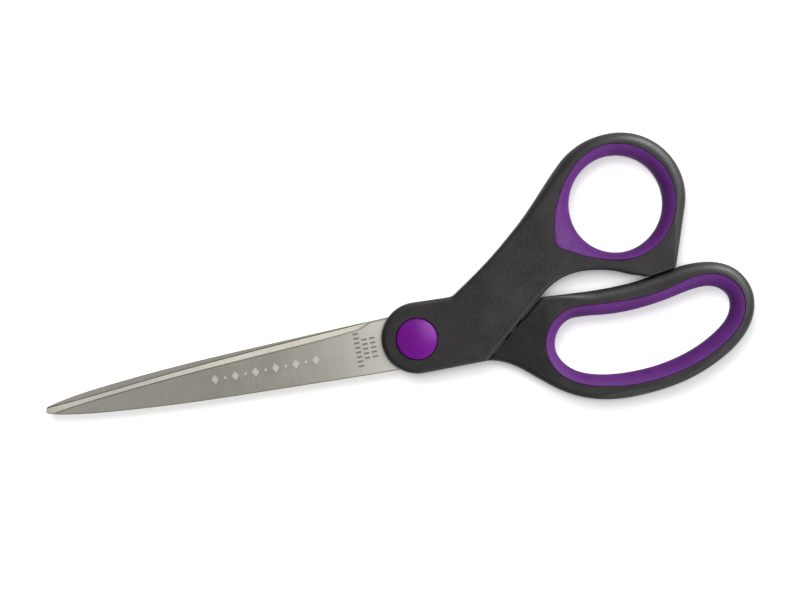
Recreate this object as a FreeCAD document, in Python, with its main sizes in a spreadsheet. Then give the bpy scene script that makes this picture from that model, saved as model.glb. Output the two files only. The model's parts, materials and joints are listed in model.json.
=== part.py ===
import FreeCAD, Part
import Sketcher
import math
import os
from FreeCAD import Placement, Rotation, Vector

# Straight-edged craft scissors with bent handles, closed, lying flat. Millimetres.
# Z is the pivot axis and Z = 0 the surface the scissors rest on. The blades point to -X, the
# handles to +X, the thumb loop to +Y. The front half (front blade and thumb handle) lies above
# the mid-plane between the blades, the rear half (rear blade and finger handle) below it.

SIZES = [
    ("handle_height", 11.0, "thickness of both handles"),
    ("blade_thickness", 1.6, "sheet both blades are stamped from"),
    ("blade_gap", 0.2, "space between the blades, filled at the pivot by the glide washer"),
    ("edge_land", 0.12, "steel left standing at the cutting edge"),
    ("spine_rounding", 0.3, "edge break along each blade's back"),
    ("mark_depth", 0.06, "plain marks etched into the front blade"),
    ("running_hole_radius", 2.55, "hole of the front blade, which turns"),
    ("shoulder_radius", 2.5, "screw shoulder and the rear blade's hole"),
    ("thread_radius", 2.0, "threaded end of the screw"),
    ("screw_head_radius", 4.0, "low head under the front cap"),
    ("screw_head_height", 1.6, "head thickness"),
    ("screw_end", 2.2, "how far the thread stands out behind the rear blade"),
    ("slot_width", 1.0, "screwdriver slot"),
    ("slot_depth", 0.8, "screwdriver slot"),
    ("spring_height", 0.5, "dished spring washer, as clamped"),
    ("spring_sheet", 0.3, "spring washer sheet"),
    ("washer_bore_radius", 2.6, "bore of the washers on the shoulder"),
    ("glide_radius", 4.8, "glide washer outside"),
    ("nut_flats", 7.0, "nut width across flats"),
    ("nut_height", 1.6, "nut thickness"),
    ("nut_washer_radius", 4.4, "washer under the nut"),
    ("nut_washer_height", 0.4, "washer under the nut"),
    ("cap_pocket_radius", 6.45, "recess in each boss"),
    ("cap_radius", 6.2, "visible button of each cap"),
    ("cap_flange_height", 1.2, "snap flange at the foot of each cap"),
    ("cap_edge_rounding", 0.45, "edge of each button"),
    ("front_cap_height", 4.7, "front cap, from the blade to the crown"),
    ("front_cap_dome", 1.0, "curved part of the front crown"),
    ("front_cap_wall", 1.2, "front cap skirt and crown"),
    ("rear_cap_height", 3.6, "rear cap, from the blade to the crown"),
    ("rear_cap_dome", 0.5, "curved part of the rear crown"),
    ("rear_cap_wall", 0.7, "rear cap skirt and crown"),
    ("boss_radius", 10.75, "round boss of each handle at the pivot"),
    ("grip_inset", 0.35, "liner faces below the handle faces"),
    ("grip_web_height", 3.4, "black web that the liner wraps round"),
    ("grip_web_reach", 1.3, "how far the web reaches into the liner"),
    ("thumb_hole_major", 14.7, "half the long way across the thumb hole"),
    ("thumb_hole_minor", 14.2, "half the short way across the thumb hole"),
    ("grip_rounding", 2.6, "edges of the liners round the finger holes"),
    ("arm_rounding", 1.3, "edges of the arms and bosses"),
    ("loop_rounding", 2.9, "edges round the loops"),
    ("corner_rounding", 0.8, "edges at the tight corners"),
    ("shoulder_clearance", 15.0, "radius inside which the thumb handle is half thickness"),
    ("ramp_start_x", 43.0, "where the finger handle starts to slope down to the pivot"),
    ("ramp_blend_radius", 45.0, "curve between the handle's face and its slope"),
    ("ramp_angle", 10.0, "slope of the finger handle's neck, in degrees"),
    ("tang_hole_radius", 2.0, "hole in each tang that locks it in the plastic"),
]

doc = FreeCAD.newDocument("scissors")
sheet = doc.addObject("Spreadsheet::Sheet", "Sizes")
for row, (alias, value, note) in enumerate(SIZES, start=1):
    sheet.set(f"A{row}", alias)
    sheet.set(f"B{row}", str(value))
    sheet.set(f"C{row}", note)
    sheet.setAlias(f"B{row}", alias)
doc.recompute()


def size(alias):
    return float(sheet.get(alias))


def level(name):
    """An expression for a height in the stack at the pivot."""
    return {
        "front_blade": "(Sizes.handle_height + Sizes.blade_gap) / 2",
        "front_blade_top": "(Sizes.handle_height + Sizes.blade_gap) / 2 + Sizes.blade_thickness",
        "rear_blade_top": "(Sizes.handle_height - Sizes.blade_gap) / 2",
        "rear_blade": "(Sizes.handle_height - Sizes.blade_gap) / 2 - Sizes.blade_thickness",
    }[name]


# ---------------------------------------------------------------- curves

def point(x, y):
    return Vector(x, y, 0)


def direction(degrees):
    return Vector(math.cos(math.radians(degrees)), math.sin(math.radians(degrees)), 0)


def line(start, end):
    return Part.LineSegment(start, end)


def polyline(points):
    return [line(a, b) for a, b in zip(points, points[1:] + points[:1])]


def spline(points, start_degrees, end_degrees):
    """A smooth curve through a few points, leaving and arriving in the given directions."""
    curve = Part.BSplineCurve()
    curve.interpolate(Points=points, InitialTangent=direction(start_degrees),
                      FinalTangent=direction(end_degrees), Scale=False)
    return curve


def closed_spline(points):
    """A smooth closed curve through the points, as two halves."""
    halves = []
    for half in range(2):
        curve = Part.BSplineCurve()
        curve.interpolate(Points=points, PeriodicFlag=True)
        first, last = curve.FirstParameter, curve.LastParameter
        middle = (first + last) / 2
        curve.segment(*((first, middle) if half == 0 else (middle, last)))
        halves.append(curve)
    return halves


def heading(curve, station):
    """The direction of a curve at a station along it, in degrees."""
    along = curve.tangent(station)[0]
    return math.degrees(math.atan2(along.y, along.x))


def inset(curves, distance):
    """The same anticlockwise outline, moved inwards."""
    moved = []
    for curve in curves:
        first, last = curve.FirstParameter, curve.LastParameter
        is_spline = isinstance(curve, Part.BSplineCurve)
        stations = curve.getKnots() if is_spline else [first, (first + last) / 2, last]
        points = [curve.value(station) + direction(heading(curve, station) + 90) * distance
                  for station in stations]
        moved.append(spline(points, heading(curve, first), heading(curve, last))
                     if is_spline else Part.Arc(*points))
    return moved


def rounded_corner(corner, back, onward, radius):
    """An arc that rounds a corner. back and onward point from it along its two sides."""
    before, after = direction(back), direction(onward)
    half_angle = before.getAngle(after) / 2
    reach = radius / math.tan(half_angle)
    bisector = (before + after).normalize()
    middle = corner + bisector * (radius / math.sin(half_angle) - radius)
    return Part.Arc(corner + before * reach, middle, corner + after * reach)


def start_of(curve):
    return curve.value(curve.FirstParameter)


def end_of(curve):
    return curve.value(curve.LastParameter)


def crossing(first, first_degrees, second, second_degrees):
    """Where a line through first meets a line through second."""
    along, across = direction(first_degrees), direction(second_degrees)
    gap = second - first
    reach = (gap.x * across.y - gap.y * across.x) / (along.x * across.y - along.y * across.x)
    return first + along * reach


# ---------------------------------------------------------------- document objects

def body_sketch(body, name, curves, role="XY_Plane", height=None):
    """A sketch on one of the body's own planes, raised by the expression height."""
    sketch = body.newObject("Sketcher::SketchObject", name)
    for plane in body.Origin.OriginFeatures:
        if plane.Role == role:
            sketch.AttachmentSupport = [(plane, "")]
            sketch.MapMode = "FlatFace"
    for curve in curves:
        sketch.addGeometry(curve, False)
    if height:
        sketch.setExpression(".AttachmentOffset.Base.z", height)
    return sketch


def circle_sketch(body, name, radius, centre=Vector(0, 0, 0)):
    """A sketch of one circle whose radius follows the sheet."""
    sketch = body_sketch(body, name, [Part.Circle(centre, Vector(0, 0, 1), 1.0)])
    index = sketch.addConstraint(Sketcher.Constraint("Radius", 0, 1.0))
    sketch.setExpression(f"Constraints[{index}]", radius)
    return sketch


def profile_sketch(body, name, corners):
    """A closed profile in the XZ plane. Each corner is two expressions, for X and for Z."""
    count = len(corners)
    ring = [point(10 + 5 * math.cos(2 * math.pi * i / count),
                  10 + 5 * math.sin(2 * math.pi * i / count)) for i in range(count)]
    sketch = body_sketch(body, name, polyline(ring), "XZ_Plane")
    for i, (x_text, z_text) in enumerate(corners):
        sketch.addConstraint(Sketcher.Constraint("Coincident", i, 2, (i + 1) % count, 1))
        for kind, value, text in (("DistanceX", ring[i].x, x_text), ("DistanceY", ring[i].y, z_text)):
            index = sketch.addConstraint(Sketcher.Constraint(kind, -1, 1, i, 1, value))
            sketch.setExpression(f"Constraints[{index}]", text)
    return sketch


def revolved_body(name, corners):
    body = doc.addObject("PartDesign::Body", name)
    feature = body.newObject("PartDesign::Revolution", name + "_turned")
    feature.Profile = profile_sketch(body, name + "_profile", corners)
    feature.ReferenceAxis = (feature.Profile[0], ["V_Axis"])
    feature.Angle = 360
    return body


def pad(body, name, sketch, length):
    feature = body.newObject("PartDesign::Pad", name)
    feature.Profile = sketch
    feature.setExpression("Length", length)
    return feature


def pocket_through(body, name, sketch):
    feature = body.newObject("PartDesign::Pocket", name)
    feature.Profile = sketch
    feature.Type = "ThroughAll"
    feature.Midplane = True
    return feature


def body_fillet(body, name, base, edge_names, radius):
    feature = body.newObject("PartDesign::Fillet", name)
    feature.Base = (base, edge_names)
    feature.setExpression("Radius", radius)
    return feature


def extrusion(name, curves, length, base="0"):
    """A solid of constant outline, from the height base upwards."""
    sketch = doc.addObject("Sketcher::SketchObject", name + "_sketch")
    for curve in curves:
        sketch.addGeometry(curve, False)
    sketch.setExpression(".Placement.Base.z", base)
    feature = doc.addObject("Part::Extrusion", name)
    feature.Base = sketch
    feature.DirMode = "Normal"
    feature.setExpression("LengthFwd", length)
    feature.Solid = True
    return feature


def boolean(kind, name, base, tool):
    feature = doc.addObject(kind, name)
    feature.Base = base
    feature.Tool = tool
    return feature


def cut(name, base, tool):
    return boolean("Part::Cut", name, base, tool)


def cylinder(name, radius, height, base):
    feature = doc.addObject("Part::Cylinder", name)
    feature.setExpression("Radius", radius)
    feature.setExpression("Height", height)
    feature.setExpression(".Placement.Base.z", base)
    return feature


def ring(name, inner, outer, height, base):
    disc = cylinder(name + "_disc", outer, height, base)
    bore = cylinder(name + "_bore", inner, height, base)
    return cut(name, disc, bore)


def rounded(name, base, wanted, radius_at):
    """Fillets with a radius that changes along the edges: radius_at gives it at each vertex."""
    doc.recompute()
    edges = []
    for number, edge in enumerate(base.Shape.Edges, start=1):
        if wanted(edge):
            first, last = edge.valueAt(edge.FirstParameter), edge.valueAt(edge.LastParameter)
            edges.append((number, radius_at(first), radius_at(last)))
    feature = doc.addObject("Part::Fillet", name)
    feature.Base = base
    feature.Edges = edges
    return feature


# ---------------------------------------------------------------- blades

# Half-widths of a blade, from the tip to the pivot: the curved back and the cutting edge, and
# how far from the middle the ground bevel starts. A blade is drawn edge up; the rear one is
# turned over.
TIP = point(-112.9, -0.1)
TIP_RADIUS = 1.1
HEEL_X = -8.0
HEEL_HALF_WIDTH = 8.15
BACK = [point(-108.0, -2.3), point(-92.0, -4.3), point(-76.0, -5.55), point(-52.0, -6.7),
        point(-28.0, -7.55)]
EDGE = [point(-98.0, 2.05), point(-80.0, 3.7), point(-62.0, 5.1), point(-44.0, 6.3),
        point(-26.0, 7.3), point(-16.0, 7.8)]
BEVEL = [point(-116.0, -1.75), point(-99.5, 0.45), point(-83.0, 1.95), point(-66.5, 3.15),
         point(-50.0, 4.1), point(-33.5, 4.95), point(-17.0, 6.2)]
BEVEL_END = [point(-17.0, 6.2), point(-15.6, 6.6), point(-14.6, 7.1), point(-13.4, 7.65),
             point(-11.0, 8.2)]
BEVEL_OVERRUN = 3.0


def blade_outline(tang):
    """The closed outline: round the tip, along the back, round the tang, along the edge."""
    heel = point(HEEL_X, HEEL_HALF_WIDTH)
    heel_below = point(HEEL_X, -HEEL_HALF_WIDTH)
    tip_above = TIP + direction(92) * TIP_RADIUS
    tip_below = TIP + direction(-105) * TIP_RADIUS
    back = spline([tip_below] + BACK + [heel_below], -15, -1)
    edge = spline([heel] + EDGE[::-1] + [tip_above], 181.5, 182)
    tip = Part.Arc(tip_above, TIP + direction(180) * TIP_RADIUS, tip_below)
    corners = [heel_below] + tang + [heel]
    return [edge, tip, back] + [line(a, b) for a, b in zip(corners, corners[1:])]


def edge_height(x):
    """Half-width of the blade on its cutting side."""
    outline = spline([point(HEEL_X, HEEL_HALF_WIDTH)] + EDGE[::-1] +
                     [TIP + direction(92) * TIP_RADIUS], 181.5, 182)
    if x <= TIP.x:
        return TIP.y + TIP_RADIUS
    wall = Part.LineSegment(point(x, -20), point(x, 20))
    return outline.intersect(wall)[0].Y


def blade(name, base, tang, hole_radius, tang_hole):
    """One blade with its tang, pivot hole, ground bevel and broken back edge."""
    body = doc.addObject("PartDesign::Body", name)
    plate = pad(body, name + "_plate", body_sketch(body, name + "_outline", blade_outline(tang),
                                                   height=base), "Sizes.blade_thickness")
    pocket_through(body, name + "_pivot_hole", circle_sketch(body, name + "_hole", hole_radius))
    pocket_through(body, name + "_tang_hole",
                   circle_sketch(body, name + "_lock", "Sizes.tang_hole_radius", tang_hole))
    doc.recompute()
    top = plate.Shape.BoundBox.ZMax
    backs = [f"Edge{number}" for number, edge in enumerate(body.Shape.Edges, start=1)
             if edge.BoundBox.ZMin > top - 0.01 and edge.BoundBox.XMax < HEEL_X + 0.1
             and edge.BoundBox.YMax < -0.5 and edge.Length > 50]
    body_fillet(body, name + "_back", body.Tip, backs, "Sizes.spine_rounding")
    low = top - size("blade_thickness") + size("edge_land")
    ground(body, name + "_bevel", BEVEL, top, low, False)
    ground(body, name + "_bevel_end", BEVEL_END, top, low, True)
    return body


def ground(body, name, starts, top, low, ruled):
    """Cuts the bevel from the line of starts, at the top face, down to the cutting edge."""
    sections = []
    for number, start in enumerate(starts):
        lip = edge_height(start.x)
        corners = [Vector(start.y, top, 0), Vector(max(lip, start.y), low, 0),
                   Vector(lip + BEVEL_OVERRUN, low, 0), Vector(lip + BEVEL_OVERRUN, top + 1, 0),
                   Vector(start.y, top + 1, 0)]
        section = body_sketch(body, f"{name}_{number}", polyline(corners), "YZ_Plane")
        section.AttachmentOffset = Placement(Vector(0, 0, start.x), Rotation())
        sections.append(section)
    bevel = body.newObject("PartDesign::SubtractiveLoft", name)
    bevel.Profile = sections[0]
    bevel.Sections = sections[1:]
    bevel.Ruled = ruled


# Corners of each tang, from the back of the blade round to its edge side, drawn edge up.
FRONT_TANG = [point(6, -7.9), point(18, -1.0), point(43.5, 18.0), point(40.0, 24.0),
              point(12, 7.2), point(5, 7.7)]
REAR_TANG = [point(5, -7.6), point(33.5, 3.4), point(33.5, 12.0), point(20, 8.6), point(5, 7.9)]
FRONT_TANG_HOLE = point(35.0, 16.5)
REAR_TANG_HOLE = point(28.0, 6.0)

front_blade = blade("front_blade", level("front_blade"), FRONT_TANG, "Sizes.running_hole_radius",
                    FRONT_TANG_HOLE)
rear_blade = blade("rear_blade", "Sizes.blade_gap / 2", REAR_TANG, "Sizes.shoulder_radius",
                   REAR_TANG_HOLE)
rear_blade.Placement = Placement(Vector(0, 0, size("handle_height") / 2),
                                 Rotation(Vector(1, 0, 0), 180))


def diamond(x, y, half_width, half_height):
    return polyline([point(x - half_width, y), point(x, y - half_height),
                     point(x + half_width, y), point(x, y + half_height)])


def tick(x, y):
    """A short bar along X."""
    return polyline([point(x - 0.8, y - 0.2), point(x + 0.8, y - 0.2),
                     point(x + 0.8, y + 0.2), point(x - 0.8, y + 0.2)])


def blade_marks():
    """A row of large and small diamonds along the blade, and three rows of ticks by the pivot."""
    curves = []
    for number in range(11):
        half_width, half_height = ((0.5, 0.65), (1.15, 1.5))[number % 2 == 0]
        curves += diamond(-62.0 + 3.1 * number, -0.45, half_width, half_height)
    for x, count in ((-18.0, 8), (-15.7, 5), (-13.3, 5)):
        for number in range(count):
            curves += tick(x, 0.1 + 1.4 * (number - (count - 1) / 2))
    return curves


etching = front_blade.newObject("PartDesign::Pocket", "etching")
etching.Profile = body_sketch(front_blade, "marks", blade_marks(), height=level("front_blade_top"))
etching.setExpression("Length", "Sizes.mark_depth")

# ---------------------------------------------------------------- pivot hardware

HEAD_UNDERSIDE = level("front_blade_top") + " + Sizes.spring_height"
HEAD_TOP = HEAD_UNDERSIDE + " + Sizes.screw_head_height"
SCREW_END = level("rear_blade") + " - Sizes.screw_end"

pivot_screw = revolved_body("pivot_screw", [
    ("0", SCREW_END), ("Sizes.thread_radius", SCREW_END),
    ("Sizes.thread_radius", level("rear_blade")), ("Sizes.shoulder_radius", level("rear_blade")),
    ("Sizes.shoulder_radius", HEAD_UNDERSIDE), ("Sizes.screw_head_radius", HEAD_UNDERSIDE),
    ("Sizes.screw_head_radius", HEAD_TOP), ("0", HEAD_TOP)])
slot = body_sketch(pivot_screw, "slot_sketch", polyline([point(-5, -0.5), point(5, -0.5),
                                                         point(5, 0.5), point(-5, 0.5)]),
                   height=HEAD_TOP)
for number, half in ((0, "-Sizes.slot_width / 2"), (2, "Sizes.slot_width / 2")):
    index = slot.addConstraint(Sketcher.Constraint("DistanceY", -1, 1, number, 1, number - 1.0))
    slot.setExpression(f"Constraints[{index}]", half)
for number in range(4):
    slot.addConstraint(Sketcher.Constraint("Coincident", number, 2, (number + 1) % 4, 1))
    slot.addConstraint(Sketcher.Constraint("Horizontal" if number % 2 == 0 else "Vertical", number))
slot_cut = pivot_screw.newObject("PartDesign::Pocket", "slot")
slot_cut.Profile = slot
slot_cut.setExpression("Length", "Sizes.slot_depth")

spring_washer = revolved_body("spring_washer", [
    ("Sizes.screw_head_radius", level("front_blade_top")),
    ("Sizes.screw_head_radius", level("front_blade_top") + " + Sizes.spring_sheet"),
    ("Sizes.washer_bore_radius", HEAD_UNDERSIDE),
    ("Sizes.washer_bore_radius", HEAD_UNDERSIDE + " - Sizes.spring_sheet")])

glide_washer = ring("glide_washer", "Sizes.washer_bore_radius", "Sizes.glide_radius",
                    "Sizes.blade_gap", level("rear_blade_top"))
nut_washer = ring("nut_washer", "Sizes.thread_radius", "Sizes.nut_washer_radius",
                  "Sizes.nut_washer_height", level("rear_blade") + " - Sizes.nut_washer_height")

nut_base = level("rear_blade") + " - Sizes.nut_washer_height - Sizes.nut_height"
hexagon = doc.addObject("Part::Prism", "hexagon")
hexagon.Polygon = 6
hexagon.setExpression("Circumradius", "Sizes.nut_flats / 2 / cos(30)")
hexagon.setExpression("Height", "Sizes.nut_height")
hexagon.setExpression(".Placement.Base.z", nut_base)
pivot_nut = cut("pivot_nut", hexagon,
                cylinder("nut_bore", "Sizes.thread_radius", "Sizes.nut_height", nut_base))


def cap(name, end):
    """A domed cap, foot at Z = 0, that snaps into a boss with the flange at its foot."""
    height, dome, wall = (f"Sizes.{end}_cap_{word}" for word in ("height", "dome", "wall"))
    ceiling = f"{height} - {dome} - {wall}"
    inside = f"Sizes.cap_radius - {wall}"
    shell = revolved_body(name + "_shell", [
        (inside, "0"), ("Sizes.cap_pocket_radius", "0"),
        ("Sizes.cap_pocket_radius", "Sizes.cap_flange_height"),
        ("Sizes.cap_radius", "Sizes.cap_flange_height"), ("Sizes.cap_radius", height),
        ("0", height), ("0", ceiling), (inside, ceiling)])
    sphere = doc.addObject("Part::Sphere", name + "_sphere")
    sphere_radius = f"(Sizes.cap_radius ^ 2 + {dome} ^ 2) / (2 * {dome})"
    sphere.setExpression("Radius", sphere_radius)
    sphere.setExpression(".Placement.Base.z", f"{height} - {sphere_radius}")
    button = boolean("Part::Common", name + "_button", shell, sphere)
    rim_height = size(f"{end}_cap_height") - size(f"{end}_cap_dome")
    return rounded(name, button,
                   lambda edge: abs(edge.BoundBox.ZMin - rim_height) < 0.01
                   and abs(edge.BoundBox.XMax - size("cap_radius")) < 0.01
                   and edge.BoundBox.ZLength < 0.01,
                   lambda place: size("cap_edge_rounding"))


front_pivot_cap = cap("front_pivot_cap", "front")
front_pivot_cap.setExpression(".Placement.Base.z", level("front_blade_top"))
rear_pivot_cap = cap("rear_pivot_cap", "rear")
rear_pivot_cap.Placement = Placement(Vector(0, 0, 0), Rotation(Vector(1, 0, 0), 180))
rear_pivot_cap.setExpression(".Placement.Base.z", level("rear_blade"))

# ---------------------------------------------------------------- handle outlines

BOSS = point(0.2, 0.3)
BOSS_BOTTOM = BOSS + direction(-90) * size("boss_radius")
STOP_DEGREES = 8.4          # the flat where the handles meet when the scissors close
STOP = point(71.0, 4.78)
STOP_GAP = 0.08
SPLIT_DEGREES = 39.4        # the straight side of the thumb handle's arm
SPLIT = point(19.6, -10.45)
SPLIT_GAP = 0.45            # between that side and the finger handle's wall
LOOP = point(68.3, 30.2)    # the round part of the thumb loop
LOOP_RADIUS = 19.6
LOOP_SIDE_DEGREES = -109.8  # the straight side below it


def thumb_outline():
    """Clockwise from the boss: top edge, arm, loop, heel, stop, arch, straight side, foot."""
    top_degrees, arm_degrees, arch_degrees = -2.4, 33, 155.5
    boss_top = BOSS + direction(90 + top_degrees) * size("boss_radius")
    elbow = rounded_corner(crossing(boss_top, top_degrees, point(26.3, 19.7), arm_degrees + 1.3),
                           180 + top_degrees, arm_degrees, 3.0)
    loop_top = LOOP + direction(90) * LOOP_RADIUS
    loop_side = LOOP + direction(LOOP_SIDE_DEGREES + 90) * LOOP_RADIUS
    stop = STOP + direction(STOP_DEGREES + 90) * STOP_GAP
    heel = rounded_corner(crossing(loop_side, LOOP_SIDE_DEGREES, stop, STOP_DEGREES),
                          180 + LOOP_SIDE_DEGREES, 180 + STOP_DEGREES, 1.6)
    toe = rounded_corner(stop + direction(STOP_DEGREES) * 1.2, STOP_DEGREES, arch_degrees, 4.0)
    arch_foot = SPLIT + direction(SPLIT_DEGREES) * 24
    foot = rounded_corner(SPLIT, SPLIT_DEGREES, 180, 1.5)
    arm_middle, shoulder = point(35.6, 27.3), point(52.5, 44.1)
    arm = [spline([end_of(elbow), point(26.3, 19.7), arm_middle], arm_degrees, 40.5),
           spline([arm_middle, point(44.1, 35.6), shoulder], 40.5, 42),
           spline([shoulder, point(60.0, 48.5), loop_top], 42, 0)]
    arch = spline([end_of(toe), point(67.9, 6.6), point(63.3, 8.55), point(58.0, 10.0),
                   point(51.7, 10.6), point(46.8, 9.9), point(42.3, 7.9), arch_foot],
                  arch_degrees, 180 + SPLIT_DEGREES)
    return [line(boss_top, start_of(elbow)), elbow, *arm,
            Part.Arc(loop_top, LOOP + direction(35) * LOOP_RADIUS, loop_side),
            line(loop_side, start_of(heel)), heel, line(end_of(heel), start_of(toe)), toe, arch,
            line(arch_foot, start_of(foot)), foot, line(end_of(foot), BOSS_BOTTOM),
            Part.Arc(BOSS_BOTTOM, BOSS + direction(180) * size("boss_radius"), boss_top)]


WALL = SPLIT + direction(SPLIT_DEGREES - 90) * SPLIT_GAP
NECK_DEGREES = -21.5        # upper side of the finger handle's neck, under the thumb handle
NECK_TOP = BOSS + direction(90 + NECK_DEGREES) * size("boss_radius")
NECK_GAP = 0.8              # between the neck and the thumb handle's lower half


def finger_outline():
    """Clockwise from the boss: neck, wall, loop top, stop, loop, lower side of the neck."""
    neck = rounded_corner(crossing(NECK_TOP, NECK_DEGREES, WALL, SPLIT_DEGREES),
                          180 + NECK_DEGREES, SPLIT_DEGREES, 1.5)
    brow_degrees = -4
    brow = rounded_corner(crossing(WALL, SPLIT_DEGREES, point(48.1, 4.62), brow_degrees),
                          180 + SPLIT_DEGREES, brow_degrees, 1.2)
    stop_end = STOP + direction(STOP_DEGREES) * 9.4
    foot = point(18.4, -10.45)
    saddle_middle, lowest = point(56.0, 4.17), point(60.5, -29.5)
    saddle = [spline([end_of(brow), point(48.1, 4.62), saddle_middle], brow_degrees, -1.5),
              spline([saddle_middle, point(63.0, 4.15), STOP], -1.5, STOP_DEGREES)]
    farthest, corner = point(102.05, -6.4), point(89.2, -23.1)
    loop = [spline([stop_end, point(86.5, 6.6), point(92.4, 5.7), point(97.6, 3.0),
                    point(101.0, -1.6), farthest], STOP_DEGREES, -90),
            spline([farthest, point(101.3, -11.0), point(96.6, -18.0), corner], -90, 207),
            spline([corner, point(78.1, -27.4), point(69.2, -29.0), lowest], 207, 180)]
    belly = spline([lowest, point(51.5, -28.5), point(43.0, -25.4), point(33.4, -18.4),
                    point(26.4, -12.9), foot], 180, 180)
    return [line(NECK_TOP, start_of(neck)), neck, line(end_of(neck), start_of(brow)), brow,
            *saddle, line(STOP, stop_end), *loop, belly, line(foot, BOSS_BOTTOM),
            Part.Arc(BOSS_BOTTOM, BOSS + direction(180) * size("boss_radius"), NECK_TOP)]


def outline_edge(edge):
    """True for the edges round a handle's faces. Upright edges and the lines across the top,
    where the neck's slope begins, keep the same X all along."""
    return edge.BoundBox.XLength > 0.01


def blend(value, low, high, start, end):
    """Runs from start to end while value runs from low to high."""
    share = min(max((value - low) / (high - low), 0), 1)
    return start + (end - start) * share


def thumb_rounding(place):
    if place.y < 7.5 and place.x > 70:
        return size("corner_rounding")
    return blend(place.x + place.y, 55, 95, size("arm_rounding"), size("loop_rounding"))


def finger_rounding(place):
    if place.x < 45 and place.y > -2:
        return size("corner_rounding")
    return blend(place.x, 30, 60, size("arm_rounding"), size("loop_rounding"))


# ---------------------------------------------------------------- grips

THUMB_HOLE = point(66.6, 28.6)
THUMB_HOLE_DEGREES = 70


def thumb_hole():
    return [Part.Ellipse(THUMB_HOLE + direction(THUMB_HOLE_DEGREES) * size("thumb_hole_major"),
                         THUMB_HOLE + direction(THUMB_HOLE_DEGREES + 90) * size("thumb_hole_minor"),
                         THUMB_HOLE)]


def thumb_grip_outline():
    """Round the loop on an arc, with a broad pad towards the pivot."""
    centre, radius = point(67.0, 29.0), 17.7
    top, bottom = centre + direction(90) * radius, centre + direction(-90) * radius
    corner = Part.Arc(point(46.35, 21.2), point(46.8, 19.35), point(48.2, 18.05))
    return [Part.Arc(bottom, centre + direction(0) * radius, top),
            spline([top, point(60.6, 45.1), point(52.2, 37.4), point(47.4, 27.6),
                    start_of(corner)], 180, heading(corner, corner.FirstParameter)),
            corner,
            spline([end_of(corner), point(53.2, 15.3), point(60.0, 12.75), bottom],
                   heading(corner, corner.LastParameter), 0)]


def finger_hole():
    return closed_spline([point(48.0, -2.7), point(42.6, -5.2), point(40.4, -11.2),
                           point(43.6, -17.1), point(50.8, -20.7), point(60.7, -22.0),
                           point(70.5, -21.5), point(80.2, -19.2), point(89.1, -14.9),
                           point(94.3, -9.6), point(94.7, -5.0), point(91.3, -1.6),
                           point(86.0, -0.9), point(77.5, -2.3), point(67.7, -3.6),
                           point(57.7, -3.6)])


def finger_grip_outline():
    return closed_spline([point(49.2, 0.5), point(42.3, -1.7), point(38.3, -6.6),
                           point(37.6, -12.8), point(41.0, -19.5), point(48.5, -23.7),
                           point(58.0, -25.7), point(69.8, -25.7), point(81.3, -23.2),
                           point(92.0, -18.0), point(98.0, -11.6), point(98.8, -4.6),
                           point(95.0, 0.7), point(88.6, 2.8), point(77.5, 0.8),
                           point(65.6, -0.5)])


def grip(name, outline, hole):
    """A liner with rounded inner edges and a groove for the handle's web, and its seat tool."""
    seat_block = extrusion(name + "_seat_block", outline, "Sizes.handle_height")
    web_core = extrusion(name + "_web_core", inset(outline, size("grip_web_reach")),
                         "Sizes.handle_height")
    web_slab = extrusion(name + "_web_slab", outline, "Sizes.grip_web_height",
                         "(Sizes.handle_height - Sizes.grip_web_height) / 2")
    web = cut(name + "_web", web_slab, web_core)
    seat = cut(name + "_seat", seat_block, web)
    block = extrusion(name + "_block", outline, "Sizes.handle_height - 2 * Sizes.grip_inset",
                      "Sizes.grip_inset")
    opening = extrusion(name + "_opening", hole, "Sizes.handle_height")
    sleeve = cut(name + "_sleeve", block, opening)
    hole_length = sum(curve.toShape().Length for curve in hole)
    soft = rounded(name + "_soft", sleeve,
                   lambda edge: edge.BoundBox.ZLength < 0.01
                   and abs(edge.Length * len(hole) - hole_length) < 0.05 * hole_length,
                   lambda place: size("grip_rounding"))
    return cut(name, soft, web), seat


thumb_grip, thumb_seat = grip("thumb_grip", thumb_grip_outline(), thumb_hole())
finger_grip, finger_seat = grip("finger_grip", finger_grip_outline(), finger_hole())

# ---------------------------------------------------------------- handles


def thumb_relief():
    """The space under the thumb handle near the pivot, where the finger handle passes."""
    radius = size("shoulder_clearance")
    side = NECK_TOP + direction(NECK_DEGREES + 90) * NECK_GAP
    far = side + direction(NECK_DEGREES) * 45
    offset = side.dot(direction(NECK_DEGREES + 90))
    meeting = (direction(NECK_DEGREES + 90) * offset
               + direction(NECK_DEGREES) * math.sqrt(radius ** 2 - offset ** 2))
    top = direction(64) * radius
    middle = direction((64 + math.degrees(math.atan2(meeting.y, meeting.x))) / 2) * radius
    corners = [meeting, far, point(far.x, -30), point(-20, -30), point(-20, top.y), top]
    return [Part.Arc(top, middle, meeting)] + [line(a, b) for a, b in zip(corners, corners[1:])]


def finger_relief():
    """The space above the finger handle near the pivot, where the thumb handle lies."""
    start = WALL - direction(SPLIT_DEGREES) * 8
    corner = crossing(NECK_TOP, NECK_DEGREES, WALL, SPLIT_DEGREES)
    return polyline([start, corner + direction(SPLIT_DEGREES) * 1.5, point(31, 30),
                     point(-20, 30), point(-20, start.y)])


def ramp_profile():
    """The wedge of air above the finger handle's sloping neck, seen from -Y."""
    top, radius, angle = size("handle_height"), size("ramp_blend_radius"), size("ramp_angle")
    start = point(size("ramp_start_x"), top)
    centre = start - point(0, radius)
    blend_end = centre + direction(90 + angle) * radius
    foot = crossing(blend_end, angle, point(-20, 0), 90)
    corners = [blend_end, foot, point(-20, top + 3), point(start.x, top + 3), start]
    return [Part.Arc(start, centre + direction(90 + angle / 2) * radius, blend_end)] + [
        line(a, b) for a, b in zip(corners, corners[1:])]


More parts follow.
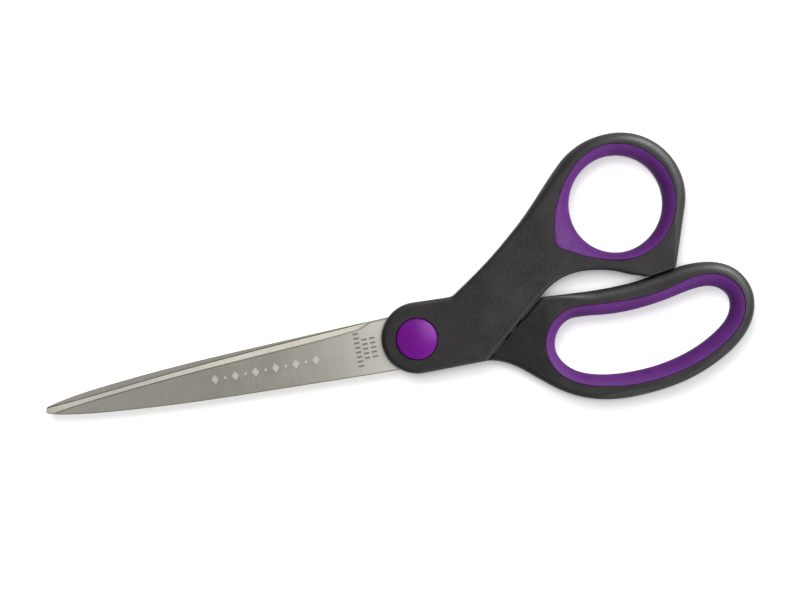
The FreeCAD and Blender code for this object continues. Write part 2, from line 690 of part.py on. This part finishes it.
def handle(name, outline, relief, relief_base, blade_body, seat, radius_at, ramp=None):
    block = extrusion(name + "_block", outline, "Sizes.handle_height")
    if ramp:
        block = cut(name + "_sloped", block, ramp)
    shaped = rounded(name + "_shaped", block, outline_edge, radius_at)
    relief_tool = extrusion(name + "_relief", relief, "Sizes.handle_height / 2 + 2", relief_base)
    half = cut(name + "_half", shaped, relief_tool)
    pocket = cylinder(name + "_cap_pocket", "Sizes.cap_pocket_radius", "Sizes.handle_height", "0")
    bored = cut(name + "_bored", half, pocket)
    gripped = cut(name + "_gripped", bored, seat)
    return cut(name, gripped, blade_body)


ramp = extrusion("ramp", ramp_profile(), "60")
ramp.Base.Placement = Placement(Vector(0, 30, 0), Rotation(Vector(1, 0, 0), 90))

thumb_handle = handle("thumb_handle", thumb_outline(), thumb_relief(),
                      level("front_blade") + " - Sizes.handle_height / 2 - 2", front_blade,
                      thumb_seat, thumb_rounding)
finger_handle = handle("finger_handle", finger_outline(), finger_relief(),
                       level("rear_blade_top"), rear_blade, finger_seat, finger_rounding, ramp)

# ---------------------------------------------------------------- checks and files

NODES = {
    "front_blade": front_blade,
    "rear_blade": rear_blade,
    "thumb_handle": thumb_handle,
    "finger_handle": finger_handle,
    "thumb_grip": thumb_grip,
    "finger_grip": finger_grip,
    "pivot_screw": pivot_screw,
    "pivot_nut": pivot_nut,
    "nut_washer": nut_washer,
    "spring_washer": spring_washer,
    "glide_washer": glide_washer,
    "front_pivot_cap": front_pivot_cap,
    "rear_pivot_cap": rear_pivot_cap,
}

doc.recompute()
for item in doc.Objects:
    if "Invalid" in item.State or "Error" in item.State:
        raise RuntimeError(f"{item.Name} failed: {item.State}")
os.makedirs("parts", exist_ok=True)
for node, item in NODES.items():
    item.Label = node
    shape = item.Shape
    if shape.isNull() or not shape.isValid() or len(shape.Solids) != 1:
        raise RuntimeError(f"{node} is not one valid solid")
    shape.exportStep(f"parts/{node}.step")
    box = shape.BoundBox
    print(f"{node:16s} {shape.Volume:9.1f} mm3  X {box.XMin:7.2f} {box.XMax:7.2f}  "
          f"Y {box.YMin:7.2f} {box.YMax:7.2f}  Z {box.ZMin:6.2f} {box.ZMax:6.2f}")
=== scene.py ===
import json
import math

import bmesh
import bpy
import numpy as np
from mathutils import Matrix, Vector

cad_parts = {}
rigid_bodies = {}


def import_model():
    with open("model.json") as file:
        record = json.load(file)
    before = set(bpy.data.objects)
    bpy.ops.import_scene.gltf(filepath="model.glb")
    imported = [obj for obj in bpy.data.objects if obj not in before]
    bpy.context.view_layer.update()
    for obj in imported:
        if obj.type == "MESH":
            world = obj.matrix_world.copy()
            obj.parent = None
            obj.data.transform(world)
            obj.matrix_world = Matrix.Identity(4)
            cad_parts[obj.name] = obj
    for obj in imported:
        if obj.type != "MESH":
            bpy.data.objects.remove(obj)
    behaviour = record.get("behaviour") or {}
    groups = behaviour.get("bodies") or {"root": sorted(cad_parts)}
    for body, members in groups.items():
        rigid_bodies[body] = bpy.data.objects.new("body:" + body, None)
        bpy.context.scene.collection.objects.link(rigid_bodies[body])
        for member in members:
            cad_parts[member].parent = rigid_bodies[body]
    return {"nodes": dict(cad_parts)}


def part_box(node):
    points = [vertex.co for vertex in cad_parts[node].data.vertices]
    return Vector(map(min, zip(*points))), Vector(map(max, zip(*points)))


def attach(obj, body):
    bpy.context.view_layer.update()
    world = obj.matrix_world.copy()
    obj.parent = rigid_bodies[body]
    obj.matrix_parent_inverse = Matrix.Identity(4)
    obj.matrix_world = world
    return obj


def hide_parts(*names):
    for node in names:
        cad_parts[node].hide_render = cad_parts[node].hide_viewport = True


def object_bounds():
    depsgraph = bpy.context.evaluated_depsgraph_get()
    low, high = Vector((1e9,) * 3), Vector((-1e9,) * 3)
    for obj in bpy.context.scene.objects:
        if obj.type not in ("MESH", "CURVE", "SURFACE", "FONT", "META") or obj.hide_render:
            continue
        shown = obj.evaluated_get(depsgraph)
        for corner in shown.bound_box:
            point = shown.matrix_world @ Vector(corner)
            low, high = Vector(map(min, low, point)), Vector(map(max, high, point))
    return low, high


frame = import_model()
cad_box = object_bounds()
cad = frame["nodes"]

MM = 0.001


# ------------------------------------------------------------------ materials

class Finish:
    """One node material: a Principled shader and small helpers that feed it."""

    def __init__(self, name, **constants):
        self.material = bpy.data.materials.new(name)
        self.material.use_nodes = True
        self.tree = self.material.node_tree
        self.tree.nodes.clear()
        self.shader = self.add("ShaderNodeBsdfPrincipled")
        output = self.add("ShaderNodeOutputMaterial")
        self.link(self.shader.outputs[0], output.inputs["Surface"])
        for socket, value in constants.items():
            self.shader.inputs[socket.replace("_", " ")].default_value = value
        self.place = self.add("ShaderNodeTexCoord").outputs["Object"]

    def add(self, kind, **settings):
        node = self.tree.nodes.new(kind)
        for name, value in settings.items():
            setattr(node, name, value)
        return node

    def link(self, source, target):
        self.tree.links.new(source, target)

    def feed(self, target, value):
        """Sets a socket to a number or colour, or links it to another socket."""
        if isinstance(value, bpy.types.NodeSocket):
            self.link(value, target)
        else:
            target.default_value = value

    def maths(self, operation, *values):
        node = self.add("ShaderNodeMath", operation=operation)
        for socket, value in zip(node.inputs, values):
            self.feed(socket, value)
        return node.outputs[0]

    def stretched(self, x, y, z):
        """The piece's own coordinates, scaled along each axis."""
        node = self.add("ShaderNodeMapping")
        self.link(self.place, node.inputs["Vector"])
        node.inputs["Scale"].default_value = (x, y, z)
        return node.outputs[0]

    def noise(self, size, detail=2.0, roughness=0.5, where=None):
        """Noise whose features are about size across, in metres."""
        node = self.add("ShaderNodeTexNoise")
        self.link(where or self.place, node.inputs["Vector"])
        node.inputs["Scale"].default_value = 1.0 / size
        node.inputs["Detail"].default_value = detail
        node.inputs["Roughness"].default_value = roughness
        return node.outputs["Fac"]

    def pits(self, size):
        """Distance to the nearest cell centre, for a moulded or blasted texture."""
        node = self.add("ShaderNodeTexVoronoi")
        self.link(self.place, node.inputs["Vector"])
        node.inputs["Scale"].default_value = 1.0 / size
        return node.outputs["Distance"]

    def spread(self, value, low, high, start=0.0, end=1.0):
        """Maps low..high to start..end, and holds it outside."""
        node = self.add("ShaderNodeMapRange")
        for socket, given in zip(node.inputs, (value, low, high, start, end)):
            self.feed(socket, given)
        return node.outputs[0]

    def blend_of(self, *weighted):
        """Sum of (value, weight) pairs."""
        total = 0.0
        for value, weight in weighted:
            total = self.maths("ADD", total, self.maths("MULTIPLY", value, weight))
        return total

    def parts(self, vector):
        """The X, Y and Z sockets of a vector."""
        node = self.add("ShaderNodeSeparateXYZ")
        self.link(vector, node.inputs[0])
        return node.outputs

    def facing(self):
        """The surface's normal."""
        return self.add("ShaderNodeNewGeometry").outputs["Normal"]

    def rounded(self, radius):
        """The normal that the surface would have with its edges rounded."""
        node = self.add("ShaderNodeBevel", samples=6)
        node.inputs["Radius"].default_value = radius
        return node.outputs[0]

    def mix(self, share, first, second):
        node = self.add("ShaderNodeMix", data_type="RGBA")
        self.feed(node.inputs["Factor"], share)
        self.feed(node.inputs["A"], first)
        self.feed(node.inputs["B"], second)
        return node.outputs["Result"]

    def colour(self, value):
        self.feed(self.shader.inputs["Base Color"], value)

    def roughness(self, value):
        self.feed(self.shader.inputs["Roughness"], value)

    def bump(self, height, depth, strength=1.0, below=None):
        """Bump from a 0..1 height that stands for depth metres, laid over another bump."""
        node = self.add("ShaderNodeBump")
        node.inputs["Strength"].default_value = strength
        node.inputs["Distance"].default_value = depth
        self.link(height, node.inputs["Height"])
        if below:
            self.link(below, node.inputs["Normal"])
        return node.outputs[0]

    def normal(self, value):
        self.link(value, self.shader.inputs["Normal"])

    def edge_wear(self, radius):
        """1 along sharp edges and 0 away from them."""
        dot = self.add("ShaderNodeVectorMath", operation="DOT_PRODUCT")
        self.link(self.rounded(radius), dot.inputs[0])
        self.link(self.facing(), dot.inputs[1])
        return self.spread(dot.outputs["Value"], 0.99, 0.80)


def grey(level, warmth=0.0):
    return (level * (1 + warmth), level, level * (1 - warmth), 1)


def soot(level):
    """A very slightly purple black."""
    return (level * 1.10, level * 0.95, level * 1.0, 1)


def moulded_black(name, low, high, rough):
    """Fine matte texture of a moulded handle, with rubbed edges and faint patches."""
    finish = Finish(name, Specular_IOR_Level=0.5)
    speck = finish.noise(0.45 * MM, 3.0, 0.6)
    patch = finish.noise(14 * MM, 3.0)
    tone = finish.blend_of((speck, 0.55), (patch, 0.45))
    base = finish.mix(finish.spread(tone, 0.35, 0.65), low, high)
    worn = finish.maths("MULTIPLY", finish.edge_wear(0.35 * MM), 0.2)
    finish.colour(finish.mix(worn, base, soot(0.035)))
    finish.roughness(finish.spread(finish.noise(5 * MM, 4.0), 0.3, 0.7, rough - 0.06, rough + 0.06))
    grain = finish.bump(finish.pits(0.34 * MM), 0.036 * MM, 1.0)
    finish.normal(finish.bump(speck, 0.02 * MM, 0.35, grain))
    return finish.material


def elastomer(name, shade, light):
    """Soft-touch liner: satin, very finely textured, paler where it is rubbed."""
    finish = Finish(name, Specular_IOR_Level=0.25)
    speck = finish.noise(0.5 * MM, 3.0, 0.6)
    patch = finish.noise(9 * MM, 3.0)
    tone = finish.blend_of((speck, 0.6), (patch, 0.4))
    finish.colour(finish.mix(finish.spread(tone, 0.38, 0.62), shade, light))
    finish.roughness(finish.spread(patch, 0.3, 0.7, 0.50, 0.62))
    grain = finish.bump(finish.pits(0.4 * MM), 0.03 * MM, 0.7)
    finish.normal(finish.bump(speck, 0.02 * MM, 0.4, grain))
    return finish.material


def satin_cap(name, shade, light):
    """Smooth moulded button with faint flow marks and hairline scratches."""
    finish = Finish(name, Specular_IOR_Level=0.35, Specular_Tint=(0.85, 0.45, 1.0, 1))
    flow = finish.noise(6 * MM, 4.0, 0.55)
    hairline = finish.noise(1.0, 3.0, 0.7, finish.stretched(900, 5200, 2000))
    finish.colour(finish.mix(finish.spread(flow, 0.3, 0.7), shade, light))
    finish.roughness(finish.spread(hairline, 0.35, 0.7, 0.27, 0.38))
    finish.normal(finish.bump(hairline, 0.004 * MM, 0.5))
    return finish.material


SHEET = 1.6 * MM                # thickness of the blades
EDGE_LAND = 0.12 * MM           # of the sheet is left at the cutting edge
UPRIGHT = 0.995                 # a normal steeper than this belongs to a flat of the blade
PAINTED_SHADE_DARK = (0.05, 0.048, 0.044, 1)
TANG_PAINTED_SHADE_DARK = (0.06, 0.058, 0.055, 1)
PIVOT_PAINTED_REFLECTION = (0.95, 0.925, 0.84, 1)
TIP_PAINTED_REFLECTION = (1.0, 0.95, 0.86, 1)
FROST = (0.84, 0.82, 0.75, 1)
STAMPED = (0.24, 0.23, 0.20, 1)
STAMPED_FROM = -25 * MM         # the marks nearer the pivot than this are stamped, not frosted

# stretches along the blade, measured from the pivot, over which painted reflection and painted shade
# change its tone
PAINTED_REFLECTION_TO_PIVOT = (-46 * MM, -6 * MM)
PAINTED_REFLECTION_TO_TIP = (-62 * MM, -112 * MM)
BEVEL_PAINTED_SHADE_TO_TIP = (-45 * MM, -80 * MM)
TANG_PAINTED_SHADE = (7 * MM, 18 * MM)
EDGE_PAINTED_SHADE_LINE = (0.12 * MM, 0.32 * MM)      # where the painted shade line above the cutting edge fades


def brushed_steel(name, low, high, face, up, etched_at=None):
    """Stainless sheet ground across its length, whose bevelled side is at the height face and
    looks up (1) or down (-1). Painted shade: thin dark lines edge the bevel, the bevel darkens
    towards the tip and the tang is dark. Painted reflection: the flats are paler towards the
    pivot and the tip. Marks etched below the height etched_at are frosted."""
    finish = Finish(name, Metallic=1.0)
    across = finish.noise(1.0, 4.0, 0.75, finish.stretched(6500, 240, 900))
    streaks = finish.noise(1.0, 3.0, 0.6, finish.stretched(2300, 150, 900))
    coarse = finish.noise(1.0, 4.0, 0.6, finish.stretched(700, 900, 900))
    cloud = finish.noise(7 * MM, 3.0)
    tone = finish.blend_of((across, 0.3), (streaks, 0.35), (cloud, 0.35))
    base = finish.mix(finish.spread(tone, 0.36, 0.64), low, high)

    def over(base, share, where, colour):
        return finish.mix(finish.maths("MULTIPLY", share, where), base, colour)

    place, facing = finish.parts(finish.place), finish.parts(finish.facing())
    along, height = place["X"], place["Z"]
    tilt = finish.maths("MULTIPLY", facing["Z"], up)
    flat = finish.maths("GREATER_THAN", finish.maths("ABSOLUTE", tilt), UPRIGHT)
    sideways = finish.maths("MULTIPLY", facing["Y"], up)
    ground = finish.maths("MULTIPLY", finish.maths("LESS_THAN", tilt, UPRIGHT),
                          finish.maths("GREATER_THAN", sideways, 0.02))

    # painted reflection: the flats are paler towards the pivot
    pivot_painted_reflection = finish.spread(along, *PAINTED_REFLECTION_TO_PIVOT)
    base = over(base, finish.maths("MULTIPLY", pivot_painted_reflection, pivot_painted_reflection), flat, PIVOT_PAINTED_REFLECTION)
    # painted reflection: the flats are paler towards the tip
    base = over(base, finish.spread(along, *PAINTED_REFLECTION_TO_TIP, 0, 0.8), flat, TIP_PAINTED_REFLECTION)
    # painted shade: the tang is dark where it shows in the slit between the handles
    base = finish.mix(finish.spread(along, *TANG_PAINTED_SHADE, 0, 0.85), base, TANG_PAINTED_SHADE_DARK)

    # painted shade: a dark line on the flat beside the bevel, and on one side of each mark
    bevel_shade_lean = finish.maths("MULTIPLY", finish.parts(finish.rounded(0.9 * MM))["Y"], up)
    base = over(base, finish.spread(bevel_shade_lean, 0.04, 0.12, 0, 0.8), flat, PAINTED_SHADE_DARK)
    # painted shade: the bevel darker towards the tip
    base = over(base, finish.spread(along, *BEVEL_PAINTED_SHADE_TO_TIP, 0, 0.15), ground, PAINTED_SHADE_DARK)
    # painted shade: a dark line just above the cutting edge
    edge_height = face - up * (SHEET - EDGE_LAND)
    above_edge = finish.maths("ABSOLUTE", finish.maths("SUBTRACT", height, edge_height))
    base = over(base, finish.spread(above_edge, *EDGE_PAINTED_SHADE_LINE, 1, 0), ground, PAINTED_SHADE_DARK)

    if etched_at:
        etched = finish.maths("MULTIPLY", finish.maths("GREATER_THAN", tilt, UPRIGHT),
                              finish.maths("LESS_THAN", height, etched_at))
        stamped = finish.maths("GREATER_THAN", along, STAMPED_FROM)
        base = finish.mix(etched, base, finish.mix(stamped, FROST, STAMPED))
        frosted = finish.maths("MULTIPLY", etched, finish.maths("SUBTRACT", 1.0, stamped))
        finish.feed(finish.shader.inputs["Metallic"], finish.spread(frosted, 0, 1, 1, 0.3))
    finish.colour(base)
    finish.roughness(finish.spread(coarse, 0.3, 0.7, 0.33, 0.37))
    grain = finish.bump(across, 0.0015 * MM, 0.6)
    finish.normal(finish.bump(cloud, 0.03 * MM, 0.12, grain))
    return finish.material


def turned_steel(name, tone, rough):
    """Turned or stamped hardware: fine rings round the pivot axis, darker in places."""
    finish = Finish(name, Metallic=1.0)
    rings = finish.add("ShaderNodeTexWave", wave_type="RINGS", rings_direction="Z")
    finish.link(finish.place, rings.inputs["Vector"])
    rings.inputs["Scale"].default_value = 1.0 / (2.2 * MM)
    rings.inputs["Distortion"].default_value = 0.6
    stain = finish.noise(1.6 * MM, 4.0)
    finish.colour(finish.mix(finish.spread(stain, 0.35, 0.7), grey(tone * 0.72, 0.02),
                             grey(tone, 0.02)))
    finish.roughness(finish.spread(stain, 0.3, 0.7, rough, rough + 0.12))
    finish.normal(finish.bump(rings.outputs["Fac"], 0.01 * MM, 0.5))
    return finish.material


def slippery_plastic(name):
    """Pale low-friction washer, slightly mottled."""
    finish = Finish(name, Specular_IOR_Level=0.5, Subsurface_Weight=0.05)
    mottle = finish.noise(1.2 * MM, 4.0)
    finish.colour(finish.mix(finish.spread(mottle, 0.3, 0.7), grey(0.62, 0.03), grey(0.74, 0.02)))
    finish.roughness(finish.spread(mottle, 0.3, 0.7, 0.34, 0.46))
    finish.normal(finish.bump(mottle, 0.01 * MM, 0.4))
    return finish.material


FRONT_FACE, REAR_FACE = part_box("front_blade")[1].z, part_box("rear_blade")[0].z
ETCHED_BELOW = FRONT_FACE - 0.03 * MM       # half the depth of the marks
BLACK = (soot(0.006), soot(0.019), 0.46)
PURPLE = ((0.120, 0.005, 0.185, 1), (0.150, 0.008, 0.225, 1))
FINISHES = {
    "front_blade": brushed_steel("steel_front_blade", (0.53, 0.505, 0.435, 1),
                                 (0.67, 0.64, 0.56, 1), FRONT_FACE, 1, ETCHED_BELOW),
    "rear_blade": brushed_steel("steel_rear_blade", (0.53, 0.51, 0.455, 1),
                                (0.66, 0.635, 0.57, 1), REAR_FACE, -1),
    "thumb_handle": moulded_black("plastic_thumb_handle", *BLACK),
    "finger_handle": moulded_black("plastic_finger_handle", *BLACK),
    "front_pivot_cap": satin_cap("plastic_front_cap", *PURPLE),
    "rear_pivot_cap": satin_cap("plastic_rear_cap", *PURPLE),
    "pivot_screw": turned_steel("steel_screw", 0.62, 0.26),
    "pivot_nut": turned_steel("steel_nut", 0.58, 0.30),
    "nut_washer": turned_steel("steel_nut_washer", 0.60, 0.28),
    "spring_washer": turned_steel("steel_spring_washer", 0.50, 0.32),
    "glide_washer": slippery_plastic("plastic_glide_washer"),
}
for node, material in FINISHES.items():
    mesh = cad[node].data
    mesh.materials.clear()
    mesh.materials.append(material)


# ------------------------------------------------------------------ soft liners

LINER_ROUNDING = 2.6 * MM       # of the CAD liners, where their faces turn into the hole
SAME_HEIGHT = 0.002 * MM        # points of the CAD mesh this close in height are one row
WIDEST = 20 * MM                # no liner is wider than this
STATIONS, OUTLINE_STATIONS = 320, 2400
WEB_HALF_HEIGHT = 1.74 * MM     # half the groove for the handle's web
WEB_REACH = 1.36 * MM
FIT = 0.02 * MM                 # the liner stands this far off its seat
LIP = 0.28 * MM                 # rounded outer edge of each face
ROLL_DEPTH = 2.3 * MM           # how far a liner's face falls into the hole, on a liner of no width
ROLL_SHARE = 0.22               # and how much more for each metre of its width
ROLL_POWER = 1.35               # 1 for an ellipse, more for a face that slopes from its lip
LIP_STEPS, ROLL_STEPS = 4, 28


def closed_row(points, count):
    """Points sorted round their middle and resampled evenly on a smooth closed curve."""
    points = np.unique(np.round(points[:, :2], 8), axis=0)
    middle = points.mean(axis=0)
    angle = np.arctan2(*(points - middle).T[::-1])
    points = points[np.argsort(angle)]
    wrapped = np.vstack([points[-2:], points, points[:3]])
    length = np.concatenate([[0], np.cumsum(np.linalg.norm(np.diff(wrapped, axis=0), axis=1))])
    tangent = np.gradient(wrapped, length, axis=0)
    start, end = length[2], length[2 + len(points)]
    stations = np.linspace(start, end, count, endpoint=False)
    cell = np.searchsorted(length, stations, side="right") - 1
    width = (length[cell + 1] - length[cell])[:, None]
    t = ((stations - length[cell])[:, None]) / width
    return ((2 * t**3 - 3 * t**2 + 1) * wrapped[cell] + (t**3 - 2 * t**2 + t) * width * tangent[cell]
            + (3 * t**2 - 2 * t**3) * wrapped[cell + 1] + (t**3 - t**2) * width * tangent[cell + 1])


def outward(row):
    """Unit normals of an anticlockwise closed row."""
    along = np.roll(row, -1, axis=0) - np.roll(row, 1, axis=0)
    across = np.column_stack([along[:, 1], -along[:, 0]])
    return across / np.linalg.norm(across, axis=1)[:, None]


def liner_rows(node):
    """The hole and the outer outline of a CAD liner, and the width between them."""
    low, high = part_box(node)
    points = np.array([v.co for v in cad[node].data.vertices])
    turn_in = high.z - LINER_ROUNDING
    hole = closed_row(points[np.abs(points[:, 2] - turn_in) < SAME_HEIGHT], STATIONS)
    face = points[np.abs(points[:, 2] - high.z) < SAME_HEIGHT]
    reach = np.array([np.linalg.norm(hole - p[:2], axis=1).min() for p in face])
    outline = closed_row(face[reach > LINER_ROUNDING + 0.25 * MM], OUTLINE_STATIONS)
    away = outward(hole)
    widths, slants = [], []
    edge_out = outward(outline)
    for place, ray in zip(hole, away):
        offset = outline - place
        side = offset @ np.array([-ray[1], ray[0]])
        ahead = offset @ ray
        crosses = np.nonzero((side * np.roll(side, -1) <= 0) & (ahead > 0) & (ahead < WIDEST))[0]
        first = crosses[np.argmin(ahead[crosses])]
        after = (first + 1) % len(outline)
        share = side[first] / (side[first] - side[after] + 1e-15)
        widths.append(ahead[first] + share * (ahead[after] - ahead[first]))
        slants.append(max(0.5, edge_out[first] @ ray))
    return hole, away, np.array(widths), np.array(slants), (low.z + high.z) / 2, high.z


def smooth_row(values, passes):
    for _ in range(passes):
        values = (np.roll(values, 1) + 2 * values + np.roll(values, -1)) / 4
    return values


def liner(name, node, body, finish):
    """A soft liner: rounded lip, a face that rolls down into the hole, a groove for the web."""
    hole, away, widths, slants, middle, top = liner_rows(node)
    slants = smooth_row(slants, 6)
    half_height = top - middle
    rings = []
    for place, ray, width, slant in zip(hole, away, widths, slants):
        seat, groove = width - FIT, width - WEB_REACH / slant
        depth = ROLL_DEPTH + ROLL_SHARE * width
        half = [(groove, 0.0), (groove, WEB_HALF_HEIGHT), (seat, WEB_HALF_HEIGHT),
                (seat, (WEB_HALF_HEIGHT + half_height) / 2)]
        for step in range(LIP_STEPS + 1):
            turn = math.radians(90 * step / LIP_STEPS)
            half.append((seat - LIP * (1 - math.cos(turn)), half_height - LIP * (1 - math.sin(turn))))
        span = seat - LIP
        for step in range(1, ROLL_STEPS + 1):
            turn = math.radians(90 * step / ROLL_STEPS)
            half.append((span * (1 - math.sin(turn) ** ROLL_POWER),
                         half_height - depth * (1 - max(math.cos(turn), 0) ** ROLL_POWER)))
        outline = half + [(out, -up) for out, up in reversed(half[1:])]
        rings.append([(*(place + ray * out), middle + up) for out, up in outline])
    size = len(rings[0])
    vertices = [point for ring in rings for point in ring]
    faces = []
    for ring in range(len(rings)):
        here, there = ring * size, (ring + 1) % len(rings) * size
        faces += [(here + k, here + (k + 1) % size, there + (k + 1) % size, there + k)
                  for k in range(size)]
    mesh = bpy.data.meshes.new(name)
    mesh.from_pydata(vertices, [], faces)
    mesh.materials.append(finish)
    mesh.update()
    piece = bpy.data.objects.new(name, mesh)
    bpy.context.scene.collection.objects.link(piece)
    shade(piece, 40)
    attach(piece, body)
    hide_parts(node)
    return piece


def shade(piece, sharp_above):
    """Faces outward, shaded smooth, with edges over sharp_above degrees kept sharp."""
    form = bmesh.new()
    form.from_mesh(piece.data)
    bmesh.ops.recalc_face_normals(form, faces=form.faces)
    form.to_mesh(piece.data)
    form.free()
    piece.data.shade_smooth()
    piece.data.set_sharp_from_angle(angle=math.radians(sharp_above))


LINER_FINISH = elastomer("soft_liner", (0.076, 0.011, 0.129, 1), (0.122, 0.023, 0.193, 1))
liners = [liner("thumb_liner", "thumb_grip", "thumb_half", LINER_FINISH),
          liner("finger_liner", "finger_grip", "finger_half", LINER_FINISH)]


# ------------------------------------------------------------------ stage, lights and camera

TABLE_GLOW = 0.58               # the table glows as painted light from below, dimmed close under the scissors as painted contact shadow
GLOW_ON_SCISSORS = 0.25         # the share of that glow which falls on them
TABLE_HALF = 2.0                # metres
TABLE_GAP = 0.05 * MM


def floor():
    """The pale table, just under the lowest face of the scissors. It glows as painted light, dimmed
    close under them as painted contact shadow.
    """
    corners = [(-1, -1), (1, -1), (1, 1), (-1, 1)]
    mesh = bpy.data.meshes.new("floor")
    mesh.from_pydata([(TABLE_HALF * x, TABLE_HALF * y, 0) for x, y in corners],
                     [], [(0, 1, 2, 3)])
    piece = bpy.data.objects.new("floor", mesh)
    bpy.context.scene.collection.objects.link(piece)
    piece.location.z = cad_box[0].z - TABLE_GAP
    table = Finish("pale_table", Roughness=0.9, Specular_IOR_Level=0.1,
                   Emission_Color=(1, 1, 1, 1))
    # painted shadow: occlusion dims the table's glow close under the scissors
    painted_contact_shadow = table.add("ShaderNodeAmbientOcclusion", samples=8)
    painted_contact_shadow.inputs["Distance"].default_value = 2.2 * MM
    # painted light: the table's glow, full towards the camera and a share of it on the scissors
    seen = table.spread(table.add("ShaderNodeLightPath").outputs["Is Camera Ray"], 0, 1,
                        GLOW_ON_SCISSORS, 1)
    glow = table.maths("MULTIPLY", painted_contact_shadow.outputs["AO"], TABLE_GLOW)
    table.link(table.maths("MULTIPLY", glow, seen), table.shader.inputs["Emission Strength"])
    cloud = table.noise(0.4, 3.0)
    table.colour(table.mix(table.spread(cloud, 0.3, 0.7), grey(0.86), grey(0.88)))
    mesh.materials.append(table.material)
    return piece


TURN = math.radians(10.98)      # the scissors lie this far anticlockwise in the picture
PICTURE_RIGHT = Vector((math.cos(TURN), -math.sin(TURN), 0))
PICTURE_UP = Vector((math.sin(TURN), math.cos(TURN), 0))
TARGET = Vector((-2.76 * MM, 12.50 * MM, 0))
PICTURE_WIDTH = 241.0 * MM      # at the height of the blades
FOCUS_HEIGHT = 8.0 * MM
CAMERA_HEIGHT = 1.0
SENSOR = 36                     # millimetres, as lens lengths are


def camera():
    """The camera, straight above TARGET and turned so that the picture's axes lie as above."""
    data = bpy.data.cameras.new("camera")
    data.sensor_width = SENSOR
    data.lens = SENSOR * (CAMERA_HEIGHT - FOCUS_HEIGHT) / PICTURE_WIDTH
    data.clip_start, data.clip_end = 0.01, 20
    eye = bpy.data.objects.new("camera", data)
    turn = Matrix((PICTURE_RIGHT, PICTURE_UP, (0, 0, 1))).transposed()
    eye.matrix_world = Matrix.Translation(TARGET + Vector((0, 0, CAMERA_HEIGHT))) @ turn.to_4x4()
    bpy.context.scene.collection.objects.link(eye)
    bpy.context.scene.camera = eye


def softbox(name, right, up, elevation, distance, size, power, lit):
    """An area light in a direction of the picture, flagged so that it falls on one collection."""
    flat = (PICTURE_RIGHT * right + PICTURE_UP * up).normalized()
    rise = math.radians(elevation)
    towards = flat * math.cos(rise) + Vector((0, 0, math.sin(rise)))
    data = bpy.data.lights.new(name, "AREA")
    data.shape, data.size, data.energy = "SQUARE", size, power
    lamp = bpy.data.objects.new(name, data)
    lamp.location = TARGET + towards * distance
    lamp.rotation_mode = "QUATERNION"
    lamp.rotation_quaternion = towards.to_track_quat("Z", "Y")
    lamp.light_linking.receiver_collection = lit
    bpy.context.scene.collection.objects.link(lamp)


def lit_group(name, pieces):
    """A collection that lights can be told to fall on."""
    group = bpy.data.collections.new(name)
    for piece in pieces:
        group.objects.link(piece)
    return group


table = floor()
camera()
stage = lit_group("stage", [table])
scissors = lit_group("scissors", [*cad.values(), *liners])
blades = lit_group("blades", [cad["front_blade"], cad["rear_blade"]])
grips = lit_group("grips", [*liners, cad["front_pivot_cap"], cad["rear_pivot_cap"]])
handles = lit_group("handles", [cad["thumb_handle"], cad["finger_handle"]])
moulded = lit_group("moulded", [*handles.objects, *grips.objects])

# right and up in the picture, elevation in degrees, distance and size in metres, power in watts
softbox("table_light", -0.4, 1.0, 66, 1.3, 0.7, 14, stage)
softbox("side", 0.82, 0.57, 39, 0.9, 0.95, 7.4, scissors)
softbox("rim", 0.56, 0.83, 27, 0.8, 0.36, 7.4, handles)
softbox("low_fill", 0.6, -0.9, 30, 1.0, 0.7, 3.8, moulded)
softbox("over_blades", 0.4, 0.3, 80, 1.1, 0.35, 0.76, blades)
softbox("on_bevels", -0.4, 1.0, 16, 0.9, 0.5, 0.88, blades)
softbox("over_grips", 0.5, 0.4, 59, 1.1, 0.7, 6.3, grips)


def studio_air(zenith, horizon):
    """Soft light from all round, weaker from straight above. The camera sees the air as white."""
    world = bpy.data.worlds.new("studio")
    world.use_nodes = True
    tree = world.node_tree
    way = tree.nodes.new("ShaderNodeTexCoord")
    parts = tree.nodes.new("ShaderNodeSeparateXYZ")
    tree.links.new(way.outputs["Generated"], parts.inputs[0])
    fade = tree.nodes.new("ShaderNodeMapRange")
    tree.links.new(parts.outputs["Z"], fade.inputs[0])
    for socket, value in zip(fade.inputs[1:5], (0.2, 0.9, horizon, zenith)):
        socket.default_value = value
    seen = tree.nodes.new("ShaderNodeLightPath").outputs["Is Camera Ray"]
    strength = tree.nodes.new("ShaderNodeMapRange")
    tree.links.new(seen, strength.inputs["Value"])
    tree.links.new(fade.outputs[0], strength.inputs["To Min"])
    strength.inputs["To Max"].default_value = 1.0
    tree.links.new(strength.outputs[0], tree.nodes["Background"].inputs["Strength"])
    tree.nodes["Background"].inputs["Color"].default_value = (1, 1, 1, 1)
    bpy.context.scene.world = world


studio_air(0.15, 0.26)
bpy.context.scene.view_settings.view_transform = "Standard"
